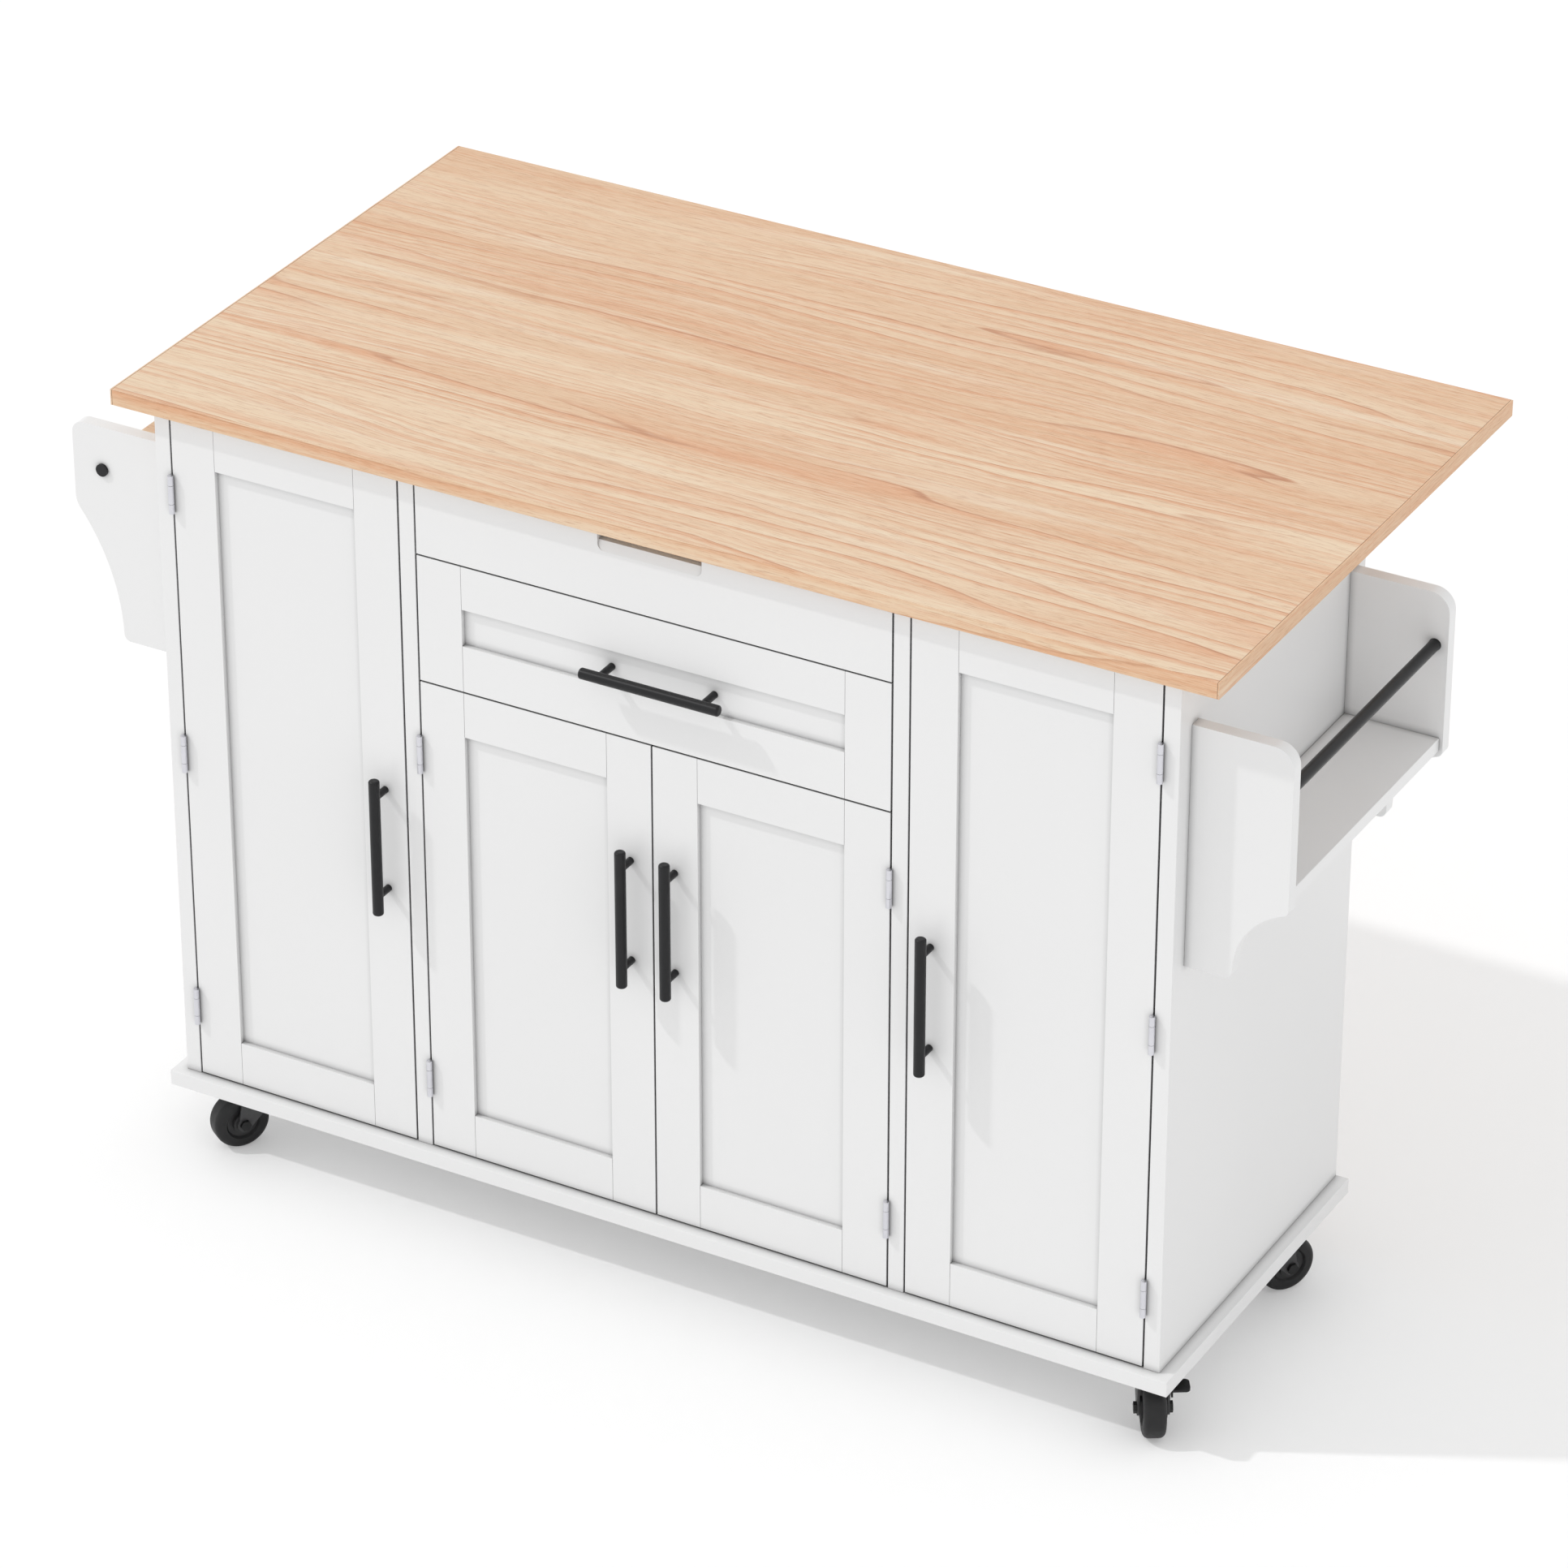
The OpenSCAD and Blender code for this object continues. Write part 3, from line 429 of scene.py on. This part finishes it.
def welded_mesh(node):
    """A CAD node's mesh with its faces joined at their shared points."""
    bm = bmesh.new()
    bm.from_mesh(NODES[node].data)
    bmesh.ops.remove_doubles(bm, verts=bm.verts, dist=WELD)
    return bm


def sharp_edges(bm, angle):
    """The edges where the faces turn by more than angle."""
    return [e for e in bm.edges if e.is_manifold and e.calc_face_angle() > angle]


def round_edges(bm, edges, width, segments):
    """Gives edges a round of a width."""
    bmesh.ops.bevel(
        bm,
        geom=edges,
        offset=width,
        segments=segments,
        profile=0.5,
        affect="EDGES",
        clamp_overlap=True,
    )


def finish_mesh(node, bm, materials):
    """Makes the piece that stands for a node, smooth with true flat faces."""
    name = node + "_look"
    mesh = bpy.data.meshes.new(name)
    bm.to_mesh(mesh)
    bm.free()
    for material in materials:
        mesh.materials.append(material)
    mesh.shade_smooth()
    piece = bpy.data.objects.new(name, mesh)
    bpy.context.scene.collection.objects.link(piece)
    weighted = piece.modifiers.new("flat_faces", "WEIGHTED_NORMAL")
    weighted.keep_sharp = True
    body = NODES[node]["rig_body"]
    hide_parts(node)
    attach(piece, body)


def dress(node, width):
    """Stands for a node with the same form and soft edges."""
    bm = welded_mesh(node)
    bmesh.ops.dissolve_limit(bm, angle_limit=FLAT, verts=bm.verts, edges=bm.edges)
    for face in bm.faces:
        face.material_index = 0
    round_edges(bm, sharp_edges(bm, BOARD_SHARP), width, EDGE_SEGMENTS)
    bm.normal_update()
    for edge in sharp_edges(bm, BOARD_SHARP):
        edge.smooth = False
    finish_mesh(node, bm, [FINISHES[SLOTS[node]]])


def paint(node):
    """Keeps a CAD node and gives it its finish."""
    for slot in NODES[node].material_slots:
        slot.material = FINISHES[SLOTS[node]]


# ---------- worktop and leaf ----------

# how far the boards reach into the seam between them, so that they meet in a fine line
SEAM_CLOSER = 0.43 * MM
# the end bands' thickness, and where the glue line behind them stops
END_BAND = 1.7 * MM
GLUE_END = 2.3 * MM
# rounding of the boards' edges, and the angle that tells them from the bands' joints
BOARD_SOFT = 0.25 * MM
BOARD_SEGMENTS = 2
BOARD_CORNER = 1.0

BOARD_MATERIALS = [WOOD, WOOD_FRONT, WOOD_END, GLUE]
ON_FACE, ON_LONG_BAND, ON_END_BAND, ON_GLUE = range(len(BOARD_MATERIALS))


def place_on_board(face, low, high):
    """Which of a board's materials a face has."""
    middle = face.calc_center_median()
    from_end = min(middle.x - low.x, high.x - middle.x)
    if from_end < END_BAND:
        return ON_END_BAND
    if from_end < GLUE_END:
        return ON_GLUE
    return ON_LONG_BAND if abs(face.normal.y) > 0.5 else ON_FACE


def banded_board(node):
    """A board with a band along each side and, at each end, a band with a fine glue line."""
    low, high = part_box(node)
    if node == "main_top":
        high.y += SEAM_CLOSER
    else:
        low.y -= SEAM_CLOSER
    bm = bmesh.new()
    bmesh.ops.create_cube(bm, size=1.0)
    to_middle = Matrix.Translation((low + high) / 2)
    to_size = Matrix.Diagonal((*(high - low), 1.0))
    bmesh.ops.transform(bm, matrix=to_middle @ to_size, verts=bm.verts)
    for x in (low.x + END_BAND, low.x + GLUE_END, high.x - END_BAND, high.x - GLUE_END):
        geometry = [*bm.verts, *bm.edges, *bm.faces]
        bmesh.ops.bisect_plane(bm, geom=geometry, plane_co=(x, 0, 0), plane_no=(1, 0, 0))
    for face in bm.faces:
        face.material_index = place_on_board(face, low, high)
    round_edges(bm, sharp_edges(bm, BOARD_CORNER), BOARD_SOFT, BOARD_SEGMENTS)
    finish_mesh(node, bm, BOARD_MATERIALS)


for board in ("main_top", "drop_leaf"):
    banded_board(board)


# ---------- white boards, racks, fronts and drawer boxes ----------

# how far the edges of each are rounded, in millimetres
SOFT_EDGES = {
    "base_board": 0.8,
    "left_side_panel": 0.6,
    "right_side_panel": 0.6,
    "left_divider": 0.6,
    "right_divider": 0.6,
    "back_panel": 0.4,
    "shelves": 0.6,
    "top_drawer_front": 0.4,
    "lower_drawer_frame": 0.25,
    "lower_drawer_panel": 0.3,
    "top_drawer_box": 0.6,
    "top_drawer_bottom": 0.3,
    "lower_drawer_box": 0.6,
    "lower_drawer_bottom": 0.3,
    "left_rack_brackets": 1.0,
    "left_rack_ledge": 0.5,
    "right_rack_brackets": 1.0,
    "right_rack_shelf": 0.8,
}
for door in DOORS:
    SOFT_EDGES[door + "_frame"] = 0.25
    SOFT_EDGES[door + "_panel"] = 0.3
for name, millimetres in SOFT_EDGES.items():
    dress(name, millimetres * MM)


# ---------- casters ----------

# the hub inside the tyre, and the nut on the fork's outside
HUB_RADIUS = 20.2 * MM
NUT_RADIUS = 6.8 * MM
# from the middle of the wheel, along the axle, to where the nut stands out from the fork
FORK_OUTSIDE = 17 * MM


def axle(corner):
    """The middle of a wheel and the direction of its axle, found from its points."""
    points = [v.co for v in NODES[corner + "_caster_wheel"].data.vertices]
    middle = sum(points, Vector()) / len(points)
    spread = [p - middle for p in points]
    level = sum(p.x * p.x - p.y * p.y for p in spread)
    skew = sum(2 * p.x * p.y for p in spread)
    # the wheel is widest across its axle
    angle = math.atan2(skew, level) / 2 + math.pi / 2
    return middle, Vector((math.cos(angle), math.sin(angle), 0.0))


def two_tone(node, corner, inner, outer, radius, beyond=0.0):
    """Stands for a caster piece: inner finish near the axle and further along it than beyond."""
    middle, along = axle(corner)
    bm = welded_mesh(node)
    for face in bm.faces:
        away = face.calc_center_median() - middle
        side = away.dot(along)
        near = (away - side * along).length < radius and abs(side) > beyond
        face.material_index = 0 if near else 1
        face.smooth = True
    for edge in sharp_edges(bm, ROUND_SHARP):
        edge.smooth = False
    finish_mesh(node, bm, [inner, outer])


for corner in CORNERS:
    two_tone(corner + "_caster_wheel", corner, HUB, TYRE, HUB_RADIUS)
    two_tone(corner + "_caster_fork", corner, BOLT, FORK, NUT_RADIUS, FORK_OUTSIDE)


# ---------- everything else keeps its own form ----------

for name in NODES:
    if not NODES[name].hide_render:
        paint(name)


# ---------- floor, light and camera ----------

PLAIN_WHITE = (1, 1, 1, 1)
FLOOR_HALF = 40.0
# share of plain white in the floor where the camera sees it, which lightens its shadows
FLOOR_WHITE = 0.22
# share of the light that comes from all round, and the sun's part on a level surface
SKY = 0.84
SUN = 0.2
# the sun's width in the sky, and so how soft its shadows are
SUN_SIZE = math.radians(1.8)
# how far a shadow runs to the right and to the back for each unit of height
SHADOW_RIGHT = 0.817
SHADOW_BACK = 0.407

# the photograph's view: the camera's direction from the object, in degrees, the point that it
# looks at and how far off it stands
AZIMUTH = 29.27
ELEVATION = 30.05
TARGET = Vector((-0.0206, 0.0, 0.448))
DISTANCE = 7.283
# the focal length and the width of the whole image in pixels, and the sensor's in millimetres
FOCAL = 8448.0
IMAGE_SIZE = 1932
SENSOR = 36.0
FARTHEST = 200.0


def floor():
    """A white floor that takes the object's shadow."""
    bm = bmesh.new()
    bmesh.ops.create_grid(bm, x_segments=1, y_segments=1, size=FLOOR_HALF)
    mesh = bpy.data.meshes.new("floor")
    bm.to_mesh(mesh)
    bm.free()
    material, tree, shader = new_material("floor_white")
    shader.inputs["Base Color"].default_value = PLAIN_WHITE
    shader.inputs["Roughness"].default_value = 1.0
    shader.inputs["Specular IOR Level"].default_value = 0.0
    white = put(tree, "ShaderNodeEmission", Color=PLAIN_WHITE, Strength=1.0)
    seen = put(tree, "ShaderNodeLightPath").outputs["Is Camera Ray"]
    share = times(tree, seen, FLOOR_WHITE)
    both = put(tree, "ShaderNodeMixShader")
    for socket, value in zip(both.inputs, (share, shader.outputs[0], white.outputs[0])):
        feed(tree, socket, value)
    tree.links.new(both.outputs[0], tree.nodes["Material Output"].inputs["Surface"])
    mesh.materials.append(material)
    piece = bpy.data.objects.new("floor", mesh)
    bpy.context.scene.collection.objects.link(piece)


def sun():
    """A soft sun from the front left, above."""
    toward = Vector((SHADOW_RIGHT, SHADOW_BACK, -1.0)).normalized()
    light = bpy.data.lights.new("sun", "SUN")
    light.angle = SUN_SIZE
    # an energy of pi from straight above makes a level white surface full white
    light.energy = SUN * math.pi / -toward.z
    lamp = bpy.data.objects.new("sun", light)
    lamp.rotation_mode = "QUATERNION"
    lamp.rotation_quaternion = toward.to_track_quat("-Z", "Y")
    bpy.context.scene.collection.objects.link(lamp)


def world():
    """Even light all round, and plain white where the camera or a reflection sees it."""
    made = bpy.data.worlds.new("studio")
    bpy.context.scene.world = made
    made.use_nodes = True
    tree = made.node_tree
    path = put(tree, "ShaderNodeLightPath").outputs
    seen = calc(tree, "MAXIMUM", path["Is Camera Ray"], path["Is Glossy Ray"])
    seen = calc(tree, "MAXIMUM", seen, path["Is Transmission Ray"])
    back = tree.nodes["Background"]
    back.inputs["Color"].default_value = PLAIN_WHITE
    tree.links.new(remap(tree, seen, 0.0, 1.0, SKY, 1.0), back.inputs["Strength"])


def camera():
    """The photograph's view."""
    az, el = math.radians(AZIMUTH), math.radians(ELEVATION)
    ahead = Vector((-math.sin(az) * math.cos(el), math.cos(az) * math.cos(el), -math.sin(el)))
    data = bpy.data.cameras.new("camera")
    data.sensor_width = SENSOR
    data.lens = SENSOR * FOCAL / IMAGE_SIZE
    data.clip_end = FARTHEST
    view = bpy.data.objects.new("camera", data)
    view.location = TARGET - ahead * DISTANCE
    view.rotation_mode = "QUATERNION"
    view.rotation_quaternion = ahead.to_track_quat("-Z", "Y")
    bpy.context.scene.collection.objects.link(view)
    bpy.context.scene.camera = view


floor()
sun()
world()
camera()
bpy.context.scene.view_settings.view_transform = "Standard"
